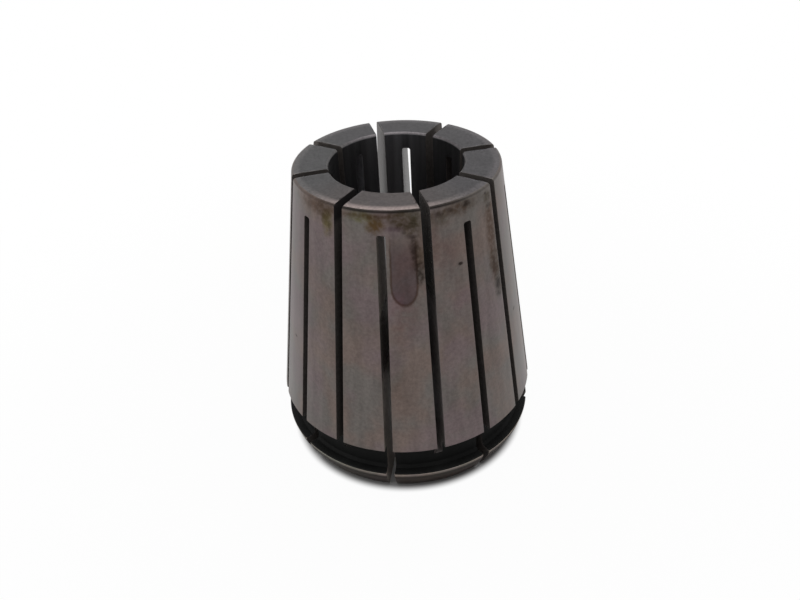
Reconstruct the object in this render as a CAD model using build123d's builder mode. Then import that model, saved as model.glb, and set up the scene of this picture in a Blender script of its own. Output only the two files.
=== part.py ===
from build123d import *
from math import radians, sqrt, tan
import os

# A collet of size 40 with a 19 mm bore: one piece of spring steel, turned, sawn and ground.
# It stands on its nose. The origin is the centre of the front face and the axis is +Z.

# overall length and the clamping cone
length = 46.0  # front face to back face
cone_half_angle = 8.0
gauge_dia = 40.0  # the cone's diameter at its gauge height
gauge_height = 7.66

# nose: a ring with a nearly straight land, then the face that the nut presses on
ring_dia = 39.6
ring_height = 4.3  # the ring's back edge, above the front face
land_height = 1.4
land_half_angle = 16.0
nose_half_angle = 30.0
ring_chamfer = 0.2
nose_chamfer = 0.3

# extraction groove between the ring and the cone
groove_dia = 36.2
groove_width = 4.4
groove_corner_chamfer = 0.4
cone_chamfer = 0.3

# back end and bore: the back face slopes off a little before its rounded edge
back_crown_width = 1.2
back_crown_drop = 0.28
back_edge_round = 0.2
bore_dia = 19.0
bore_chamfer = 0.3

# saw slots: one pass of the saw cuts two opposite slots
slots_per_end = 8
slot_width = 1.2
saw_dia = 160.0
back_web = 3.3  # steel left between the nose's slots and the back face, at the cone
groove_web = 2.0  # steel left between the back end's slots and the ring, at the groove's floor

bore_radius = bore_dia / 2
ring_radius = ring_dia / 2
groove_radius = groove_dia / 2
saw_radius = saw_dia / 2
cone_start = ring_height + groove_width
land_start = ring_height - land_height
land_radius = ring_radius - land_height * tan(radians(land_half_angle))
nose_radius = land_radius - land_start * tan(radians(nose_half_angle))
saw_passes = slots_per_end // 2
half_pitch = 180 / slots_per_end


def cone_radius(height):
    return gauge_dia / 2 - (height - gauge_height) * tan(radians(cone_half_angle))


def saw_rise(radius):
    # how far the saw's centre lies from the end that its edge cuts at this radius
    return sqrt(saw_radius**2 - radius**2)


back_edge_height = length - back_crown_drop
back_edge_radius = cone_radius(back_edge_height)
nose_saw_height = length - back_web - saw_rise(cone_radius(length))
back_saw_height = ring_height + groove_web + saw_rise(groove_radius)

with BuildPart() as collet:
    # half the section, seen with the axis on the left and the nose at the bottom
    with BuildSketch(Plane.XZ) as section:
        with BuildLine():
            Polyline(
                (bore_radius, 0),
                (nose_radius, 0),
                (land_radius, land_start),
                (ring_radius, ring_height),
                (groove_radius, ring_height),
                (groove_radius, cone_start),
                (cone_radius(cone_start), cone_start),
                (back_edge_radius, back_edge_height),
                (back_edge_radius - back_crown_width, length),
                (bore_radius, length),
                close=True,
            )
        make_face()

        def corner(radius, height):
            return section.vertices().sort_by_distance((radius, height))[0]

        chamfer([corner(bore_radius, 0), corner(bore_radius, length)], bore_chamfer)
        chamfer(corner(nose_radius, 0), nose_chamfer)
        chamfer(corner(ring_radius, ring_height), ring_chamfer)
        chamfer(corner(cone_radius(cone_start), cone_start), cone_chamfer)
        groove_corners = [corner(groove_radius, ring_height), corner(groove_radius, cone_start)]
        chamfer(groove_corners, groove_corner_chamfer)
        fillet(corner(back_edge_radius, back_edge_height), back_edge_round)
    revolve(axis=Axis.Z)

    # slots from the nose: they part the ring and stop short of the back face
    with PolarLocations(0, saw_passes, angular_range=180):
        with Locations((0, 0, nose_saw_height)):
            Cylinder(saw_radius, slot_width, rotation=(90, 0, 0), mode=Mode.SUBTRACT)

    # slots from the back, half a pitch round: they stop in the groove and leave the ring whole
    with PolarLocations(0, saw_passes, start_angle=half_pitch, angular_range=180):
        with Locations((0, 0, back_saw_height)):
            Cylinder(saw_radius, slot_width, rotation=(90, 0, 0), mode=Mode.SUBTRACT)
collet.part.label = "collet"

os.makedirs("parts", exist_ok=True)
export_step(collet.part, "parts/collet.step")
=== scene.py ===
from math import atan2, hypot, radians, sqrt, tan

import bmesh
import bpy
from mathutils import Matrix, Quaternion, Vector


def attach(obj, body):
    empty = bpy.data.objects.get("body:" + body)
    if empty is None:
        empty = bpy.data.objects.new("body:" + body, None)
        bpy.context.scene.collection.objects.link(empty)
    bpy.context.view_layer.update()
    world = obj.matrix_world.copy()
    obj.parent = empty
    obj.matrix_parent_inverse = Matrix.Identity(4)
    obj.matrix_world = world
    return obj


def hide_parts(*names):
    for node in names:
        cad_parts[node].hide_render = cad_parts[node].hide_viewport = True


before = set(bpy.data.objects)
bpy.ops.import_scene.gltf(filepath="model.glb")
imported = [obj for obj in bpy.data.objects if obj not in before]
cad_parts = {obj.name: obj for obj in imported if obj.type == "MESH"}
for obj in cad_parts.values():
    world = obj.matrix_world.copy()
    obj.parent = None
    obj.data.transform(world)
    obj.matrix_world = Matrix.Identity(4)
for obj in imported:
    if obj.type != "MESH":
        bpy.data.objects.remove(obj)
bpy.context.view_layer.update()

mm = 0.001  # every size below is in millimetres, and Blender works in metres
print("frame loaded")


# small helpers for selecting and shaping

def selectNothing():
    if bpy.context.mode != "OBJECT":
        bpy.ops.object.mode_set(mode="OBJECT")
    bpy.ops.object.select_all(action="DESELECT")


def pickPiece(piece):
    selectNothing()
    piece.select_set(True)
    bpy.context.view_layer.objects.active = piece


def nameNew(name):
    piece = bpy.context.active_object
    piece.name = name
    piece.data.name = name
    return piece


def applyModifier(piece, kind, **settings):
    pickPiece(piece)
    bpy.ops.object.modifier_add(type=kind)
    modifier = piece.modifiers[-1]
    for setting, value in settings.items():
        setattr(modifier, setting, value)
    bpy.ops.object.modifier_apply(modifier=modifier.name)


# the collet's body: sizes in millimetres, angles in degrees

collet = {
    "length": 46.0,
    "coneHalfAngle": 8.0,
    "gaugeRadius": 20.0,
    "gaugeHeight": 7.66,
    "ringRadius": 19.8,
    "ringHeight": 4.3,
    "landHeight": 1.4,
    "landHalfAngle": 16.0,
    "noseHalfAngle": 30.0,
    "grooveRadius": 18.1,
    "grooveWidth": 4.4,
    "boreRadius": 9.5,
    "boreChamfer": 0.3,
    "noseChamfer": 0.3,
    "ringChamfer": 0.2,
    "grooveCorner": 0.4,
    "coneChamfer": 0.3,
    "crownWidth": 1.6,
    "crownDrop": 0.1,
    "crownSteps": 5,
    "backEdgeRound": 0.4,
    "backEdgeSteps": 4,
    "facets": 256,  # a multiple of 16, so that every slot lies the same way between facets
    "noseSlots": [0, 45, 90, 135],  # one pass of the saw each, which cuts two opposite slots
    "backSlots": [22.5, 67.5, 112.5, 157.5],
    "slotWidth": 1.2,
    "sawRadius": 80.0,
    "sawFacets": 360,
    "sawCorner": 0.3,  # the worn corners of its teeth
    "sawCornerSteps": 4,
    "sawCornerAngle": 60,
    "backWeb": 3.3,  # steel left between the nose's slots and the back face
    "grooveWeb": 2.0,  # steel left between the back end's slots and the ring
    "edgeBreak": 0.06,  # the stoned edge of the slots and chamfers
    "edgeBreakSteps": 2,
    "edgeBreakAngle": 30,
    "flatWeight": 60,  # how much the large faces lead the smooth shading
    "sectionWeld": 0.001,
    "finalWeld": 0.0005,
    "ringReach": 0.01,  # how near to a ring its edges are looked for
    "sameSize": 1e-9,
}


def coneRadius(height):
    fall = (height - collet["gaugeHeight"]) * tan(radians(collet["coneHalfAngle"]))
    return collet["gaugeRadius"] - fall


def sawRise(radius):
    # how far the saw's centre lies from the end that its edge cuts at this radius
    return sqrt(collet["sawRadius"] ** 2 - radius**2)


coneStart = collet["ringHeight"] + collet["grooveWidth"]
landStart = collet["ringHeight"] - collet["landHeight"]
landRadius = collet["ringRadius"] - collet["landHeight"] * tan(radians(collet["landHalfAngle"]))
noseRadius = landRadius - landStart * tan(radians(collet["noseHalfAngle"]))
backRadius = coneRadius(collet["length"])
backEdgeHeight = collet["length"] - collet["crownDrop"]

# corners of half the section, each a radius and a height
boreFront = (collet["boreRadius"], 0.0)
noseEdge = (noseRadius, 0.0)
landEdge = (landRadius, landStart)
ringEdge = (collet["ringRadius"], collet["ringHeight"])
grooveFront = (collet["grooveRadius"], collet["ringHeight"])
grooveBack = (collet["grooveRadius"], coneStart)
coneEdge = (coneRadius(coneStart), coneStart)
backEdge = (coneRadius(backEdgeHeight), backEdgeHeight)
boreBack = (collet["boreRadius"], collet["length"])


def crownRings():
    # the back face curves down to its edge along an arc
    width, drop, steps = collet["crownWidth"], collet["crownDrop"], collet["crownSteps"]
    arcRadius = (width**2 + drop**2) / (2 * drop)
    start = backEdge[0] - width
    rings = []
    for step in range(steps):
        away = width * step / steps
        rise = sqrt(arcRadius**2 - away**2) - arcRadius + drop
        rings.append((start + away, backEdge[1] + rise))
    return rings[::-1]


def turnSection(name, section, facets):
    # the first ring is drawn out from point to point of the section, then joined to itself
    selectNothing()
    radius, height = section[0]
    bpy.ops.mesh.primitive_circle_add(
        vertices=facets, radius=radius * mm, fill_type="NOTHING", location=(0, 0, height * mm)
    )
    piece = nameNew(name)
    bpy.ops.object.transform_apply(location=True, rotation=True, scale=True)
    bpy.ops.object.mode_set(mode="EDIT")
    bpy.ops.mesh.select_mode(type="VERT")
    bpy.ops.mesh.select_all(action="SELECT")
    for nextRadius, nextHeight in section[1:]:
        bpy.ops.mesh.extrude_region_move()
        swell = nextRadius / radius
        if abs(swell - 1) > collet["sameSize"]:
            centre = (0, 0, height * mm)
            bpy.ops.transform.resize(value=(swell, swell, 1), center_override=centre)
        if abs(nextHeight - height) > collet["sameSize"]:
            bpy.ops.transform.translate(value=(0, 0, (nextHeight - height) * mm))
        radius, height = nextRadius, nextHeight
    selectRings(piece, [section[0], section[-1]])
    bpy.ops.mesh.bridge_edge_loops()
    bpy.ops.mesh.select_all(action="SELECT")
    bpy.ops.mesh.remove_doubles(threshold=collet["sectionWeld"] * mm)
    bpy.ops.mesh.normals_make_consistent(inside=False)
    bpy.ops.object.mode_set(mode="OBJECT")
    return piece


def selectRings(piece, rings):
    bpy.ops.mesh.select_mode(type="EDGE")
    bpy.ops.mesh.select_all(action="DESELECT")
    cage = bmesh.from_edit_mesh(piece.data)
    reach = collet["ringReach"]

    def onRing(vertex, ring):
        radius, height = ring
        away = hypot(vertex.co.x, vertex.co.y) / mm - radius
        return abs(away) < reach and abs(vertex.co.z / mm - height) < reach

    for edge in cage.edges:
        edge.select = any(all(onRing(vertex, ring) for vertex in edge.verts) for ring in rings)
    cage.select_flush_mode()
    bmesh.update_edit_mesh(piece.data)


def bevelRings(piece, rings, size, steps=1):
    pickPiece(piece)
    bpy.ops.object.mode_set(mode="EDIT")
    selectRings(piece, rings)
    bpy.ops.mesh.bevel(offset_type="OFFSET", offset=size * mm, segments=steps, affect="EDGES")
    bpy.ops.object.mode_set(mode="OBJECT")


def sawThrough(piece, height, azimuths):
    # a round saw of full size sinks in at each azimuth
    for azimuth in azimuths:
        selectNothing()
        bpy.ops.mesh.primitive_cylinder_add(
            vertices=collet["sawFacets"],
            radius=collet["sawRadius"] * mm,
            depth=collet["slotWidth"] * mm,
            location=(0, 0, height * mm),
            rotation=(radians(90), 0, radians(azimuth)),
        )
        saw = nameNew("saw")
        applyModifier(
            saw, "BEVEL", width=collet["sawCorner"] * mm, segments=collet["sawCornerSteps"],
            limit_method="ANGLE", angle_limit=radians(collet["sawCornerAngle"]),
        )
        applyModifier(piece, "BOOLEAN", object=saw, operation="DIFFERENCE", solver="EXACT")
        bpy.data.objects.remove(saw, do_unlink=True)


body = turnSection(
    "collet_body",
    [
        boreFront, noseEdge, landEdge, ringEdge, grooveFront,
        grooveBack, coneEdge, backEdge, *crownRings(), boreBack,
    ],
    collet["facets"],
)
bevelRings(body, [boreFront, boreBack], collet["boreChamfer"])
bevelRings(body, [noseEdge], collet["noseChamfer"])
bevelRings(body, [ringEdge], collet["ringChamfer"])
bevelRings(body, [grooveFront, grooveBack], collet["grooveCorner"])
bevelRings(body, [coneEdge], collet["coneChamfer"])
crownTurn = 2 * atan2(collet["crownDrop"], collet["crownWidth"])
backTurn = radians(90 - collet["coneHalfAngle"]) - crownTurn
backTangent = collet["backEdgeRound"] * tan(backTurn / 2)
bevelRings(body, [backEdge], backTangent, collet["backEdgeSteps"])
print("collet turned:", len(body.data.polygons), "faces")

noseSawHeight = collet["length"] - collet["backWeb"] - sawRise(backRadius)
backSawHeight = collet["ringHeight"] + collet["grooveWeb"] + sawRise(collet["grooveRadius"])
sawThrough(body, noseSawHeight, collet["noseSlots"])
sawThrough(body, backSawHeight, collet["backSlots"])
print("slots sawn:", len(body.data.polygons), "faces")

applyModifier(
    body, "BEVEL", width=collet["edgeBreak"] * mm, segments=collet["edgeBreakSteps"],
    limit_method="ANGLE", angle_limit=radians(collet["edgeBreakAngle"]),
    use_clamp_overlap=False,
)
pickPiece(body)
bpy.ops.object.mode_set(mode="EDIT")
bpy.ops.mesh.select_all(action="SELECT")
bpy.ops.mesh.remove_doubles(threshold=collet["finalWeld"] * mm)
bpy.ops.mesh.normals_make_consistent(inside=False)
bpy.ops.object.mode_set(mode="OBJECT")
bpy.ops.object.shade_smooth()
applyModifier(body, "WEIGHTED_NORMAL", mode="FACE_AREA", weight=collet["flatWeight"])
print("edges broken:", len(body.data.polygons), "faces")


# nodes for the finishes

def feed(tree, socket, value):
    if isinstance(value, bpy.types.NodeSocket):
        tree.links.new(value, socket)
    else:
        socket.default_value = value


def addNode(tree, kind, inputs=None, **settings):
    made = tree.nodes.new("ShaderNode" + kind)
    for setting, value in settings.items():
        setattr(made, setting, value)
    for place, value in (inputs or {}).items():
        feed(tree, made.inputs[place], value)
    return made


def maths(tree, operation, first, second=0.0, third=0.0):
    inputs = {0: first, 1: second, 2: third}
    return addNode(tree, "Math", inputs, operation=operation).outputs[0]


def vectorMaths(tree, operation, first, second=(0, 0, 0), **more):
    inputs = {0: first, 1: second, **more}
    return addNode(tree, "VectorMath", inputs, operation=operation)


def grain(tree, vector, scale, detail=2.0, roughness=0.5):
    inputs = {"Vector": vector, "Scale": scale, "Detail": detail, "Roughness": roughness}
    return addNode(tree, "TexNoise", inputs).outputs["Fac"]


def remap(tree, value, low, high, newLow, newHigh):
    inputs = {0: value, 1: low, 2: high, 3: newLow, 4: newHigh}
    return addNode(tree, "MapRange", inputs, interpolation_type="SMOOTHSTEP").outputs[0]


def switchAt(tree, value, edge, blur, below, above):
    return remap(tree, value, edge - blur, edge + blur, below, above)


def awayFrom(tree, value, centre):
    return maths(tree, "ABSOLUTE", maths(tree, "SUBTRACT", value, centre))


def mixColour(tree, factor, first, second, blending="MIX"):
    made = addNode(tree, "Mix", data_type="RGBA", blend_type=blending)
    feed(tree, made.inputs[0], factor)
    feed(tree, made.inputs[6], first)
    feed(tree, made.inputs[7], second)
    return made.outputs[2]


def tinted(tree, factor, tone, tint):
    return mixColour(tree, factor, tone, tint, "MULTIPLY")


def asColour(tree, level):
    return addNode(tree, "CombineColor", {0: level, 1: level, 2: level}).outputs[0]


def grey(level):
    return (level, level, level, 1)


def colour(red, green, blue):
    return (red, green, blue, 1)


def newFinish(name, metallic, specular=0.5):
    finish = bpy.data.materials.new(name)
    finish.use_nodes = True
    tree = finish.node_tree
    shader = tree.nodes["Principled BSDF"]
    shader.inputs["Metallic"].default_value = metallic
    shader.inputs["Specular IOR Level"].default_value = specular
    return finish, tree, shader


def surfacePlace(tree):
    # millimetres on the object, and the same place as azimuth in degrees, height and radius
    spot = addNode(tree, "TexCoord").outputs["Object"]
    point = vectorMaths(tree, "SCALE", spot, Scale=1 / mm).outputs[0]
    parts = addNode(tree, "SeparateXYZ", {0: point}).outputs
    azimuth = maths(tree, "DEGREES", maths(tree, "ARCTAN2", parts[1], parts[0]))
    level = vectorMaths(tree, "MULTIPLY", point, (1, 1, 0)).outputs[0]
    radius = vectorMaths(tree, "LENGTH", level).outputs["Value"]
    return point, azimuth, parts[2], radius


def stretched(tree, point, across, along):
    return vectorMaths(tree, "MULTIPLY", point, (across, across, along)).outputs[0]


def shaded(tree, tone, patterns):
    # each pattern lightens and darkens the tone by up to half its depth
    shade = None
    for pattern, depth in patterns:
        level = maths(tree, "MULTIPLY_ADD", pattern, depth, 1 - depth / 2)
        shade = level if shade is None else maths(tree, "MULTIPLY", shade, level)
    return tinted(tree, 1.0, tone, asColour(tree, shade))


def joinMasks(tree, masks):
    total = masks[0]
    for mask in masks[1:]:
        total = maths(tree, "MAXIMUM", total, mask)
    return total


# ground steel: the cone, the ring's land and the nose, with oil and heat stains, painted light and
# shade on the ring and nose, and a line of painted shade on the back edge
# a grain is its scale, detail and roughness, and a stretch is its scale across and along

groundSteel = {
    "cool": colour(0.118, 0.106, 0.098),
    "warm": colour(0.134, 0.103, 0.091),
    "rosy": colour(0.13, 0.1, 0.102),
    "cloudGrain": (0.16, 3),  # cool turns to warm by this, and both to rosy by the next
    "cloudSpan": (0.38, 0.62),
    "blushGrain": (0.13, 3),
    "blushSpan": (0.45, 0.65),
    "blushShift": (40, 0, 0),
    "blushStrength": 0.9,
    "streakGrain": (0.7, 3),
    "streakStretch": (1.0, 0.1),
    "streakDepth": 0.6,
    "mottleGrain": (2.0, 5, 0.65),
    "mottleDepth": 0.8,
    "metallic": 0.9,
    "roughness": 0.4,
    "mottleGloss": 0.12,
    "stainGloss": 0.12,
    "lineGrain": (8.0, 2),  # fine lines left by the grinding wheel
    "lineStretch": (0.12, 1.0),
    "lineBump": 0.08,
    "lineDepth": 0.02,
    "land": colour(2.1, 2.25, 2.05),  # painted reflection: the ring's upper edge is painted bright for the lit floor that it reflects
    "paintedLandShade": colour(0.42, 0.4, 0.35),  # painted shade: darker below, for the floor's shadow that it reflects
    # painted shade on the nose, for the floor's shadow that it reflects
    "nose": colour(0.75, 0.72, 0.65),
    "brightFrom": 3.6,
    "brightBlur": 0.2,
    "landBlur": (0.2, 0.1),  # below and above the land's lower edge
    "ringBlur": 0.1,
    "shadeLineHeight": 45.86,  # a thin line of painted shade on the back edge, standing for dark surroundings reflected there, strongest at the front
    "shadeLineFull": 0.06,
    "shadeLineHalf": 0.34,
    "shadeLineFront": -83.0,
    "shadeLineSpan": (22, 55),
    "shadeLineFaint": 0.3,
}

# each stain darkens the steel by its tint, as a thin film does
tints = {
    "olive": colour(0.42, 0.38, 0.26),
    "yellow": colour(0.8, 0.82, 0.45),
    "orange": colour(0.58, 0.42, 0.2),
    "brown": colour(0.5, 0.39, 0.3),
    "umber": colour(0.2, 0.17, 0.16),
    "violet": colour(0.58, 0.5, 0.56),
    "rose": colour(0.85, 0.25, 0.25),
    # this tint is painted shade, for the dark line on the back edge
    "lineShade": colour(0.08, 0.075, 0.07),
}

stainEdge = {
    "raggedGrain": (0.9, 4, 0.6),
    "ragged": 1.2,
    "patchyGrain": (1.5, 3, 0.5),
    "patchySpan": (0.3, 0.6),
    "patchyLeast": 0.55,
}

# tint, azimuth, height, half width in degrees, half height, straight part of its side,
# ragged edge, soft edge, strength
stains = [
    ("olive", -79.0, 44.9, 9.5, 1.2, 0.0, 0.9, 0.5, 1.0),
    ("olive", -75.0, 43.7, 4.5, 1.0, 0.0, 1.0, 0.6, 0.8),
    ("yellow", -100.0, 45.0, 5.5, 0.7, 0.0, 1.2, 0.6, 0.85),
    ("brown", -97.0, 45.2, 11.5, 0.4, 0.0, 1.0, 0.8, 0.9),
    ("orange", -92.5, 44.1, 4.6, 1.0, 0.0, 1.2, 0.6, 1.0),
    ("violet", -83.3, 43.5, 4.5, 0.35, 0.0, 0.8, 0.7, 0.8),
    ("yellow", -119.0, 43.2, 3.2, 1.6, 0.0, 1.2, 0.6, 1.0),
    ("olive", -121.0, 44.5, 3.6, 1.3, 0.0, 1.4, 0.7, 0.8),
    ("brown", -127.0, 45.0, 11.0, 0.85, 0.0, 1.4, 0.8, 0.85),
    ("umber", -117.5, 42.5, 1.1, 1.0, 0.0, 1.4, 0.7, 0.5),
    ("umber", -73.7, 40.4, 2.1, 1.5, 0.0, 1.6, 0.7, 0.75),
    ("umber", -71.6, 37.3, 2.1, 1.6, 0.0, 1.6, 0.7, 0.8),
    ("olive", -71.8, 40.0, 3.2, 3.0, 0.0, 1.6, 0.8, 0.7),
    ("umber", -74.8, 42.4, 2.6, 0.3, 0.0, 1.2, 0.7, 0.65),
    ("umber", -78.8, 43.1, 1.0, 0.25, 0.0, 0.8, 0.6, 0.6),
    ("olive", -61.0, 44.4, 5.0, 1.1, 0.0, 1.4, 0.7, 0.6),
    ("umber", -60.6, 44.8, 2.2, 0.4, 0.0, 1.4, 0.7, 0.5),
    ("umber", -55.0, 45.0, 1.7, 0.35, 0.0, 1.4, 0.7, 0.6),
    ("umber", -44.5, 45.1, 2.6, 0.4, 0.0, 1.4, 0.6, 0.75),
    ("brown", -48.0, 44.9, 11.0, 0.8, 0.0, 1.4, 0.8, 0.9),
    ("brown", -64.0, 41.5, 2.4, 2.2, 0.0, 1.6, 0.9, 0.35),
    ("umber", -30.2, 45.1, 0.9, 0.16, 0.0, 0.6, 0.6, 0.7),
    ("umber", -28.6, 43.3, 1.7, 0.45, 0.0, 1.2, 0.6, 0.75),
    ("olive", -29.2, 44.4, 2.7, 0.7, 0.0, 1.2, 0.7, 0.7),
    ("brown", -28.8, 38.5, 3.3, 2.8, 3.5, 1.2, 0.8, 1.0),
    ("brown", -27.8, 34.4, 3.2, 1.7, 0.4, 1.0, 0.7, 1.0),
    ("umber", -27.6, 30.9, 2.3, 1.5, 0.0, 1.2, 0.7, 0.95),
    ("umber", -51.3, 37.24, 1.3, 0.24, 0.0, 0.5, 0.5, 1.0),
    ("umber", -13.7, 24.6, 1.2, 0.25, 0.0, 0.5, 0.6, 0.7),
    ("umber", -144.4, 22.34, 1.2, 0.18, 0.0, 0.4, 0.5, 0.95),
    ("violet", -58.5, 39.7, 5.0, 3.5, 0.0, 1.4, 0.9, 0.35),
    ("rose", -80.0, 31.5, 6.5, 3.8, 0.0, 0.6, 0.6, 0.2),
    ("rose", -60.0, 34.0, 17.0, 6.5, 0.0, 0.8, 0.8, 0.1),
    ("brown", -85.0, 20.4, 3.5, 5.5, 0.0, 1.4, 0.9, 0.25),
    ("brown", 20.0, 45.0, 14.0, 0.8, 0.0, 1.6, 0.8, 0.7),
    ("olive", 64.0, 44.9, 12.0, 0.8, 0.0, 1.6, 0.8, 0.7),
    ("brown", 118.0, 45.0, 16.0, 0.7, 0.0, 1.6, 0.8, 0.7),
    ("olive", 158.0, 44.6, 9.0, 1.2, 0.0, 1.6, 0.8, 0.7),
    ("umber", 96.0, 33.0, 1.2, 0.25, 0.0, 0.6, 0.5, 0.8),
    ("umber", 30.0, 18.0, 1.3, 0.22, 0.0, 0.6, 0.5, 0.8),
    ("brown", 141.0, 36.0, 2.4, 2.0, 3.0, 1.2, 0.8, 0.5),
]

# a drop of oil has dried here into a long tongue with a darker edge
driedDrop = {
    "oval": (-79.7, 39.2, 6.5, 3.0, 3.6),  # the same five places as in a stain
    "ragged": 0.08,
    "fullTo": 0.85,
    "goneFrom": 1.1,
    "strength": 0.88,
    "edgeAt": 0.95,
    "edgeHalf": 0.14,
    "edgeStrength": 0.8,
    "fadeFrom": 44.0,
    "fadeTo": 39.0,
}


def reachFrom(tree, place, azimuth, height, halfWidth, halfHeight, straight):
    # 1 on the edge of an upright oval whose sides are straight for a while
    away = vectorMaths(tree, "SUBTRACT", place, (azimuth, height, 0)).outputs[0]
    if straight:
        away = vectorMaths(tree, "ABSOLUTE", away).outputs[0]
        away = vectorMaths(tree, "SUBTRACT", away, (0, straight, 0)).outputs[0]
        away = vectorMaths(tree, "MAXIMUM", away, (0, 0, 0)).outputs[0]
    scaled = vectorMaths(tree, "MULTIPLY", away, (1 / halfWidth, 1 / halfHeight, 0)).outputs[0]
    return vectorMaths(tree, "LENGTH", scaled).outputs["Value"]


def addStains(tree, tone, point, place, height):
    ragged = grain(tree, point, *stainEdge["raggedGrain"])
    ragged = maths(tree, "MULTIPLY_ADD", ragged, 2 * stainEdge["ragged"], -stainEdge["ragged"])
    patchy = grain(tree, point, *stainEdge["patchyGrain"])
    patchy = remap(tree, patchy, *stainEdge["patchySpan"], stainEdge["patchyLeast"], 1.0)
    dirt = []
    for tint, *oval, rough, soft, strength in stains:
        reach = reachFrom(tree, place, *oval)
        reach = maths(tree, "MULTIPLY_ADD", ragged, rough / 2, reach)
        mask = remap(tree, reach, 1 - soft, 1 + soft, strength, 0.0)
        mask = maths(tree, "MULTIPLY", mask, patchy)
        tone = tinted(tree, mask, tone, tints[tint])
        dirt.append(mask)

    drop = driedDrop
    reach = reachFrom(tree, place, *drop["oval"])
    reach = maths(tree, "MULTIPLY_ADD", ragged, drop["ragged"], reach)
    fade = remap(tree, height, drop["fadeTo"], drop["fadeFrom"], 1, 0)
    inside = remap(tree, reach, drop["fullTo"], drop["goneFrom"], drop["strength"], 0)
    tone = tinted(tree, maths(tree, "MULTIPLY", inside, fade), tone, tints["violet"])
    fromEdge = awayFrom(tree, reach, drop["edgeAt"])
    edge = remap(tree, fromEdge, 0.0, drop["edgeHalf"], drop["edgeStrength"], 0)
    tone = tinted(tree, maths(tree, "MULTIPLY", edge, fade), tone, tints["brown"])
    return tone, joinMasks(tree, dirt)


def addPaintedShadeLine(tree, tone, azimuth, height):
    # painted shade: a dark line along the back edge, strongest at the front
    steel = groundSteel
    fromLine = awayFrom(tree, height, steel["shadeLineHeight"])
    line = remap(tree, fromLine, steel["shadeLineFull"], steel["shadeLineHalf"], 1, 0)
    aside = awayFrom(tree, azimuth, steel["shadeLineFront"])
    fade = remap(tree, aside, *steel["shadeLineSpan"], 1, steel["shadeLineFaint"])
    return tinted(tree, maths(tree, "MULTIPLY", line, fade), tone, tints["lineShade"])


def addRingLightAndShade(tree, tone, height):
    # painted reflection and painted shade: the ring's upper edge is painted bright, the land below
    # it and the nose darker
    steel = groundSteel
    onRing = switchAt(tree, height, collet["ringHeight"], steel["ringBlur"], 1, 0)
    underLine = switchAt(tree, height, steel["brightFrom"], steel["brightBlur"], 1, 0)
    blurBelow, blurAbove = steel["landBlur"]
    onNose = remap(tree, height, landStart - blurBelow, landStart + blurAbove, 1, 0)
    ringLightAndShade = mixColour(tree, onNose, steel["paintedLandShade"], steel["nose"])
    ringLightAndShade = mixColour(tree, underLine, steel["land"], ringLightAndShade)
    return tinted(tree, onRing, tone, ringLightAndShade)


def makeGroundSteel():
    steel = groundSteel
    finish, tree, shader = newFinish("ground_steel", steel["metallic"])
    point, azimuth, height, _ = surfacePlace(tree)
    place = addNode(tree, "CombineXYZ", {0: azimuth, 1: height}).outputs[0]
    streaks = stretched(tree, point, *steel["streakStretch"])
    streaks = grain(tree, streaks, *steel["streakGrain"])
    mottle = grain(tree, point, *steel["mottleGrain"])

    cloud = grain(tree, point, *steel["cloudGrain"])
    cloud = remap(tree, cloud, *steel["cloudSpan"], 0, 1)
    tone = mixColour(tree, cloud, steel["cool"], steel["warm"])
    elsewhere = vectorMaths(tree, "ADD", point, steel["blushShift"]).outputs[0]
    blush = grain(tree, elsewhere, *steel["blushGrain"])
    blush = remap(tree, blush, *steel["blushSpan"], 0, steel["blushStrength"])
    tone = mixColour(tree, blush, tone, steel["rosy"])
    patterns = [(streaks, steel["streakDepth"]), (mottle, steel["mottleDepth"])]
    tone = shaded(tree, tone, patterns)
    tone, dirt = addStains(tree, tone, point, place, height)
    tone = addPaintedShadeLine(tree, tone, azimuth, height)
    feed(tree, shader.inputs["Base Color"], addRingLightAndShade(tree, tone, height))

    smoothest = steel["roughness"] - steel["mottleGloss"] / 2
    gloss = maths(tree, "MULTIPLY_ADD", mottle, steel["mottleGloss"], smoothest)
    gloss = maths(tree, "MULTIPLY_ADD", dirt, steel["stainGloss"], gloss)
    feed(tree, shader.inputs["Roughness"], gloss)
    lines = stretched(tree, point, *steel["lineStretch"])
    lines = grain(tree, lines, *steel["lineGrain"])
    depth = steel["lineDepth"] * mm
    inputs = {"Strength": steel["lineBump"], "Distance": depth, "Height": lines}
    feed(tree, shader.inputs["Normal"], addNode(tree, "Bump", inputs).outputs[0])
    return finish


# faced steel: the flat back and front ends, with a painted highlight at the back face's edges

facedSteel = {
    "colour": colour(0.0435, 0.0425, 0.0435),
    "mottleGrain": (2.4, 5, 0.7),
    "mottleDepth": 1.0,
    "cloudGrain": (0.3, 3),
    "cloudDepth": 0.4,
    "speckGrain": (2.7, 3, 0.7),
    "speckSpan": (0.38, 0.62),
    "speckDepth": 0.15,
    "speckSheen": 0.34,
    "pitGrain": (3.5, 3, 0.6),
    "pitSpan": (0.3, 0.4),
    "pitStrength": 0.5,
    "front": -90.0,
    "frontSpan": (20, 60),
    "warmFront": colour(1.26, 1.1, 1.05),
    "darkSide": 50.0,  # the middle of the darker half
    "darkSpan": (85, 105),
    "dark": colour(0.92, 0.885, 0.92),
    "highlightRadii": (13.1, 14.0),  # painted highlight, brightest towards its edge and most at the front
    "highlightFront": -92.0,
    "highlightSpan": (10, 48),
    "highlightLeast": 0.3,
    "paintedHighlight": colour(3.5, 3.35, 3.25),
    "boreHighlightRadii": (9.75, 9.85),  # and a painted highlight on the chamfer round the bore
    "boreHighlightStrength": 0.35,
    "sheen": 0.97,  # how much is left of the sheen seen along the face
    "roughness": 0.42,
    "mottleGloss": 0.16,
    "metallic": 0.9,
}


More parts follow.
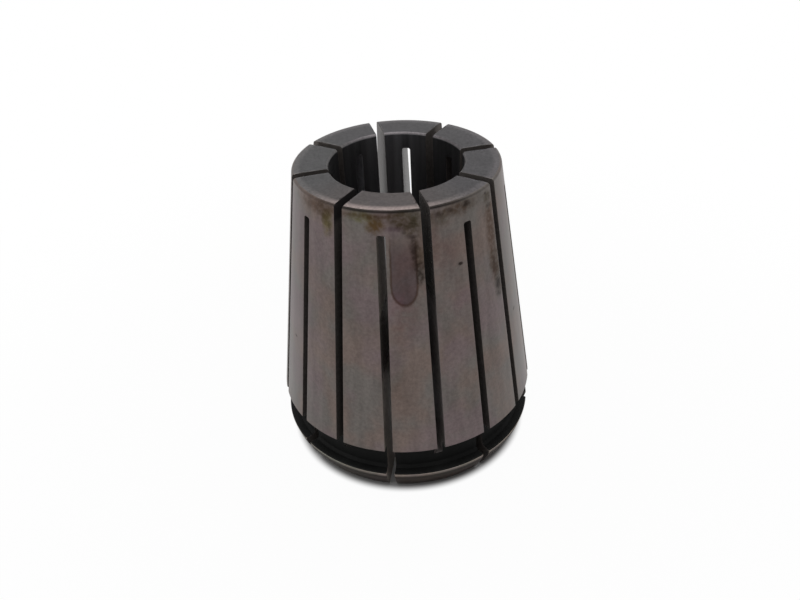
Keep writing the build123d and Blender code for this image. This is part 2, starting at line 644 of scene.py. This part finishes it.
def makeFacedSteel():
    steel = facedSteel
    finish, tree, shader = newFinish("faced_steel", steel["metallic"])
    point, azimuth, _, radius = surfacePlace(tree)
    mottle = grain(tree, point, *steel["mottleGrain"])
    cloud = grain(tree, point, *steel["cloudGrain"])
    specks = grain(tree, point, *steel["speckGrain"])
    specks = remap(tree, specks, *steel["speckSpan"], 0, 1)
    patterns = [
        (mottle, steel["mottleDepth"]), (cloud, steel["cloudDepth"]), (specks, steel["speckDepth"])
    ]
    tone = shaded(tree, steel["colour"], patterns)
    pits = grain(tree, point, *steel["pitGrain"])
    pits = remap(tree, pits, *steel["pitSpan"], steel["pitStrength"], 0.0)
    tone = tinted(tree, pits, tone, tints["umber"])
    front = awayFrom(tree, azimuth, steel["front"])
    front = remap(tree, front, *steel["frontSpan"], 1, 0)
    tone = tinted(tree, front, tone, steel["warmFront"])
    dark = awayFrom(tree, azimuth, steel["darkSide"])
    dark = remap(tree, dark, *steel["darkSpan"], 1, 0)
    tone = tinted(tree, dark, tone, steel["dark"])

    # painted highlight on the back face's outer edge and on the bore's chamfer
    aside = awayFrom(tree, azimuth, steel["highlightFront"])
    paintedHighlight = remap(tree, radius, *steel["highlightRadii"], 0, 1)
    fade = remap(tree, aside, *steel["highlightSpan"], 1, steel["highlightLeast"])
    paintedHighlight = maths(tree, "MULTIPLY", paintedHighlight, fade)
    edge = remap(tree, radius, *steel["boreHighlightRadii"], steel["boreHighlightStrength"], 0)
    tone = tinted(tree, maths(tree, "MAXIMUM", paintedHighlight, edge), tone, steel["paintedHighlight"])
    feed(tree, shader.inputs["Base Color"], tone)

    leastSheen = steel["sheen"] - steel["speckSheen"] / 2
    sheen = maths(tree, "MULTIPLY_ADD", specks, steel["speckSheen"], leastSheen)
    feed(tree, shader.inputs["Specular Tint"], asColour(tree, sheen))
    smoothest = steel["roughness"] - steel["mottleGloss"] / 2
    gloss = maths(tree, "MULTIPLY_ADD", mottle, steel["mottleGloss"], smoothest)
    feed(tree, shader.inputs["Roughness"], gloss)
    return finish


# the bore, dark inside, with lighter streaks along it and painted shade on both sides

boreSteel = {
    "colour": colour(0.052, 0.0505, 0.053),
    "streakGrain": (0.9, 3),
    "streakStretch": (1.0, 0.05),
    "streakSpan": (0.35, 0.7),
    "streakDark": 0.8,
    "streakLight": 1.35,
    "roughness": 0.45,
    "metallic": 0.6,
    "brightest": 1.35,  # front and back, while both sides are darkened as painted shade
    "brightestAt": 110,
    "rightPaintedShade": 0.35,
    "rightAt": 50,
    "leftPaintedShade": 0.42,
    "leftAt": 165,
}


def makeBoreSteel():
    steel = boreSteel
    finish, tree, shader = newFinish("bore_steel", steel["metallic"])
    point, azimuth, _, _ = surfacePlace(tree)
    streaks = stretched(tree, point, *steel["streakStretch"])
    streaks = grain(tree, streaks, *steel["streakGrain"])
    darkTo, lightFrom = steel["streakSpan"]
    streaks = remap(tree, streaks, darkTo, lightFrom, steel["streakDark"], steel["streakLight"])
    # painted shade: the bore's sides are darkened, its front and back kept lightest
    turned = maths(tree, "ABSOLUTE", azimuth)
    middle = steel["brightestAt"]
    right = remap(tree, turned, steel["rightAt"], middle, steel["rightPaintedShade"], steel["brightest"])
    left = remap(tree, turned, middle, steel["leftAt"], 1.0, steel["leftPaintedShade"])
    shade = maths(tree, "MULTIPLY", streaks, maths(tree, "MULTIPLY", right, left))
    tone = tinted(tree, 1.0, steel["colour"], asColour(tree, shade))
    feed(tree, shader.inputs["Base Color"], tone)
    feed(tree, shader.inputs["Roughness"], steel["roughness"])
    return finish


# sawn steel: the walls and ends of the slots, dark and fairly smooth

sawnSteel = {
    "colour": colour(0.122, 0.11, 0.103),
    "mottleGrain": (1.6, 4, 0.6),
    "mottleDepth": 0.8,
    "roughness": 0.23,
    "metallic": 0.4,
    "specular": 0.03,
    "grazing": colour(0.48, 0.47, 0.47),  # how much is left of the sheen seen along a wall
    "slotHalf": 9.0,
    "slotBlur": 3.0,
    "paintedLightSlot": -90.0,  # painted light: the walls of the front slot are painted lighter than the others
    "paintedLight": colour(0.32, 0.28, 0.25),
    "paintedLightGrazing": colour(0.95, 0.91, 0.88),
    "shadeBandLow": 21.0,  # but for a band of painted shade across them
    "shadeBandHigh": 30.6,
    "shadeBandBlur": 0.3,
    "paintedShadeBand": colour(0.17, 0.15, 0.14),
    "wornSlot": -67.5,  # this slot is paler in its lower part
    "wornBelow": 32.0,
    "wornBlur": 1.0,
    "worn": colour(0.26, 0.235, 0.23),
    "sootySlot": -112.5,  # and this one is sooty at its mouth
    "sootyAbove": 43.4,
    "sootyBlur": 0.6,
    "sooty": colour(0.05, 0.045, 0.045),
    "innerSlot": 135.0,  # this one is wiped pale next to the bore
    "innerRadius": (11.4, 11.8),
    "inner": colour(0.32, 0.32, 0.34),
}


def inSlot(tree, azimuth, slot):
    half = sawnSteel["slotHalf"]
    aside = awayFrom(tree, azimuth, slot)
    return remap(tree, aside, half, half + sawnSteel["slotBlur"], 1, 0)


def makeSawnSteel():
    steel = sawnSteel
    finish, tree, shader = newFinish("sawn_steel", steel["metallic"], steel["specular"])
    point, azimuth, height, radius = surfacePlace(tree)
    # painted light on the walls of the front slot, and painted shade in a band across them
    paintedLight = inSlot(tree, azimuth, steel["paintedLightSlot"])
    middle = (steel["shadeBandLow"] + steel["shadeBandHigh"]) / 2
    half = (steel["shadeBandHigh"] - steel["shadeBandLow"]) / 2
    paintedShadeBand = switchAt(tree, awayFrom(tree, height, middle), half, steel["shadeBandBlur"], 1, 0)
    paintedSlotTone = mixColour(tree, paintedShadeBand, steel["paintedLight"], steel["paintedShadeBand"])
    tone = mixColour(tree, paintedLight, steel["colour"], paintedSlotTone)

    low = switchAt(tree, height, steel["wornBelow"], steel["wornBlur"], 1, 0)
    high = switchAt(tree, height, steel["sootyAbove"], steel["sootyBlur"], 0, 1)
    near = remap(tree, radius, *steel["innerRadius"], 1, 0)
    for kind, part in (("worn", low), ("sooty", high), ("inner", near)):
        here = maths(tree, "MULTIPLY", inSlot(tree, azimuth, steel[kind + "Slot"]), part)
        tone = mixColour(tree, here, tone, steel[kind])

    mottle = grain(tree, point, *steel["mottleGrain"])
    feed(tree, shader.inputs["Base Color"], shaded(tree, tone, [(mottle, steel["mottleDepth"])]))
    feed(tree, shader.inputs["Roughness"], steel["roughness"])
    sheen = mixColour(tree, paintedLight, steel["grazing"], steel["paintedLightGrazing"])
    feed(tree, shader.inputs["Specular Tint"], sheen)
    return finish


# nearly black: the groove and the ring's back, with dark residue and painted shade for the recess

residueAndShade = {
    "colour": colour(0.009, 0.0092, 0.009),
    "mottleGrain": (1.3, 4, 0.6),
    "mottleDepth": 0.8,
    "roughness": 0.55,
    "metallic": 0.0,
    "specular": 0.06,
}


def makeResidueAndShade():
    scale = residueAndShade
    finish, tree, shader = newFinish("residue_and_shade", scale["metallic"], scale["specular"])
    mottle = grain(tree, surfacePlace(tree)[0], *scale["mottleGrain"])
    # painted shade: the groove and the ring's back are made nearly black
    tone = shaded(tree, scale["colour"], [(mottle, scale["mottleDepth"])])
    feed(tree, shader.inputs["Base Color"], tone)
    feed(tree, shader.inputs["Roughness"], scale["roughness"])
    return finish


finishMakers = {
    "ground": makeGroundSteel,
    "faced": makeFacedSteel,
    "bore": makeBoreSteel,
    "sawn": makeSawnSteel,
    "scale": makeResidueAndShade,
}
for makeFinish in finishMakers.values():
    body.data.materials.append(makeFinish())
print("finishes made")

finishEdges = {
    "sideways": 0.7,  # from here on a face looks round the axis, as a slot's wall does
    "endwise": 0.5,  # and from here on along the axis
    "square": 0.98,
    "inward": -0.9,
    "endHeight": 0.05,
    "skin": 0.4,  # slot ends lie this far inside the bore and the cone
    "boreSkin": 0.05,
    "boreCorner": 11.0,
    "step": 0.1,
    "close": 0.01,
    "backSkin": 0.3,
}


def finishOf(face):
    # which finish a face has, by its place and the way that it looks
    edges = finishEdges
    x, y, z = (value / mm for value in face.center)
    radius = hypot(x, y)
    outward = (face.normal.x * x + face.normal.y * y) / radius
    around = abs(face.normal.y * x - face.normal.x * y) / radius
    along = abs(face.normal.z)
    if around > edges["sideways"]:
        return "sawn"
    ringBack = collet["ringHeight"]
    between = edges["endHeight"] <= z <= collet["length"] - edges["endHeight"]
    insideSteel = collet["boreRadius"] + edges["skin"] < radius < coneRadius(z) - edges["skin"]
    if along > edges["endwise"] and insideSteel and between:
        inGroove = ringBack - edges["step"] < z < coneStart + edges["step"]
        if inGroove and radius > collet["grooveRadius"] - edges["step"]:
            return "scale"
        if z > ringBack - edges["step"]:
            return "sawn"
    if radius < collet["boreRadius"] + edges["boreSkin"]:
        return "bore"
    if outward < edges["inward"] and radius < edges["boreCorner"]:
        return "bore"
    inGroove = ringBack - edges["close"] <= z <= coneStart + edges["close"]
    if inGroove and radius < collet["ringRadius"] - edges["step"]:
        return "scale"
    if along > edges["square"]:
        return "faced"
    if along > edges["endwise"] and radius < backRadius - edges["backSkin"]:
        return "faced"
    return "ground"


finishes = list(finishMakers)
for face in body.data.polygons:
    face.material_index = finishes.index(finishOf(face))

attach(body, "root")
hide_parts("collet")
print("collet finished")


# floor, lamps and world

studio = {
    "floorSize": 6000.0,
    "floorColour": grey(0.35),
    "shadowRadius": 17.9,  # up to here the floor shows its shadow as it is
    "whiteRadius": 19.6,  # from here on it is nearly white to the camera
    "whiteInSteel": 30.0,  # and from here on in the steel's reflections
    "farRadius": 120.0,  # and white altogether out here
    "nearlyWhite": 0.97,
    "worldSeen": 1.0,
    "worldLight": 0.3,
    "lampAim": (0.0, 0.0, 20.0),
    "overheadPower": 4.0,
    "overheadSize": 600.0,
    "overheadPlace": (0.0, 60.0, 600.0),
    "sidePower": 1.2,
    "sideSize": 500.0,
    "sidePlace": (-650.0, -350.0, 350.0),
}


def seenDirectly(tree):
    # rays from the camera, and rays that steel or glass sends on
    rays = addNode(tree, "LightPath").outputs
    mirrored = maths(tree, "MAXIMUM", rays["Is Glossy Ray"], rays["Is Transmission Ray"])
    return rays["Is Camera Ray"], mirrored


def makeFloor():
    selectNothing()
    bpy.ops.mesh.primitive_plane_add(size=studio["floorSize"] * mm, location=(0, 0, 0))
    floor = nameNew("floor")
    paper = bpy.data.materials.new("paper")
    paper.use_nodes = True
    tree = paper.node_tree
    tree.nodes.remove(tree.nodes["Principled BSDF"])
    matte = addNode(tree, "BsdfDiffuse", {"Color": studio["floorColour"]}).outputs[0]
    lit = addNode(tree, "Emission", {"Color": grey(1), "Strength": 1.0}).outputs[0]
    radius = surfacePlace(tree)[3]
    inCamera, inSteel = seenDirectly(tree)
    nearly = studio["nearlyWhite"]
    shares = []
    for seen, whiteFrom in ((inCamera, studio["whiteRadius"]), (inSteel, studio["whiteInSteel"])):
        near = remap(tree, radius, studio["shadowRadius"], whiteFrom, 0, nearly)
        far = remap(tree, radius, whiteFrom, studio["farRadius"], 0, 1 - nearly)
        shares.append(maths(tree, "MULTIPLY", seen, maths(tree, "ADD", near, far)))
    share = joinMasks(tree, shares)
    both = addNode(tree, "MixShader", {0: share, 1: matte, 2: lit}).outputs[0]
    feed(tree, tree.nodes["Material Output"].inputs["Surface"], both)
    floor.data.materials.append(paper)
    return floor


def inMetres(place):
    return [value * mm for value in place]


def sightLine(place, aim):
    return (Vector(aim) - Vector(place)).to_track_quat("-Z", "Y")


def addLamp(name, power, size, place):
    selectNothing()
    bpy.ops.object.light_add(type="AREA", location=inMetres(place))
    lamp = nameNew(name)
    lamp.data.shape = "DISK"
    lamp.data.size = size * mm
    lamp.data.energy = power
    lamp.rotation_mode = "QUATERNION"
    lamp.rotation_quaternion = sightLine(place, studio["lampAim"])


floor = makeFloor()
addLamp("overhead", studio["overheadPower"], studio["overheadSize"], studio["overheadPlace"])
addLamp("side", studio["sidePower"], studio["sideSize"], studio["sidePlace"])

world = bpy.data.worlds.new("studio")
bpy.context.scene.world = world
world.use_nodes = True
air = world.node_tree
seen = maths(air, "MAXIMUM", *seenDirectly(air))
strength = remap(air, seen, 0, 1, studio["worldLight"], studio["worldSeen"])
feed(air, air.nodes["Background"].inputs["Color"], grey(1))
feed(air, air.nodes["Background"].inputs["Strength"], strength)
print("studio lit")

camera = {
    "place": (16.904, -102.23, 94.697),
    "aim": (-0.504, -0.086, 22.21),
    "roll": -3.062,
    "lens": 36.433,
    "sensor": 36.0,
    "nearest": 1.0,
}
selectNothing()
bpy.ops.object.camera_add(location=inMetres(camera["place"]))
viewer = nameNew("viewer")
sight = sightLine(camera["place"], camera["aim"])
viewer.rotation_mode = "QUATERNION"
viewer.rotation_quaternion = sight @ Quaternion((0, 0, 1), radians(camera["roll"]))
viewer.data.sensor_width = camera["sensor"]
viewer.data.lens = camera["lens"]
viewer.data.clip_start = camera["nearest"] * mm
bpy.context.scene.camera = viewer
bpy.context.scene.view_settings.view_transform = "Standard"
print("camera set")
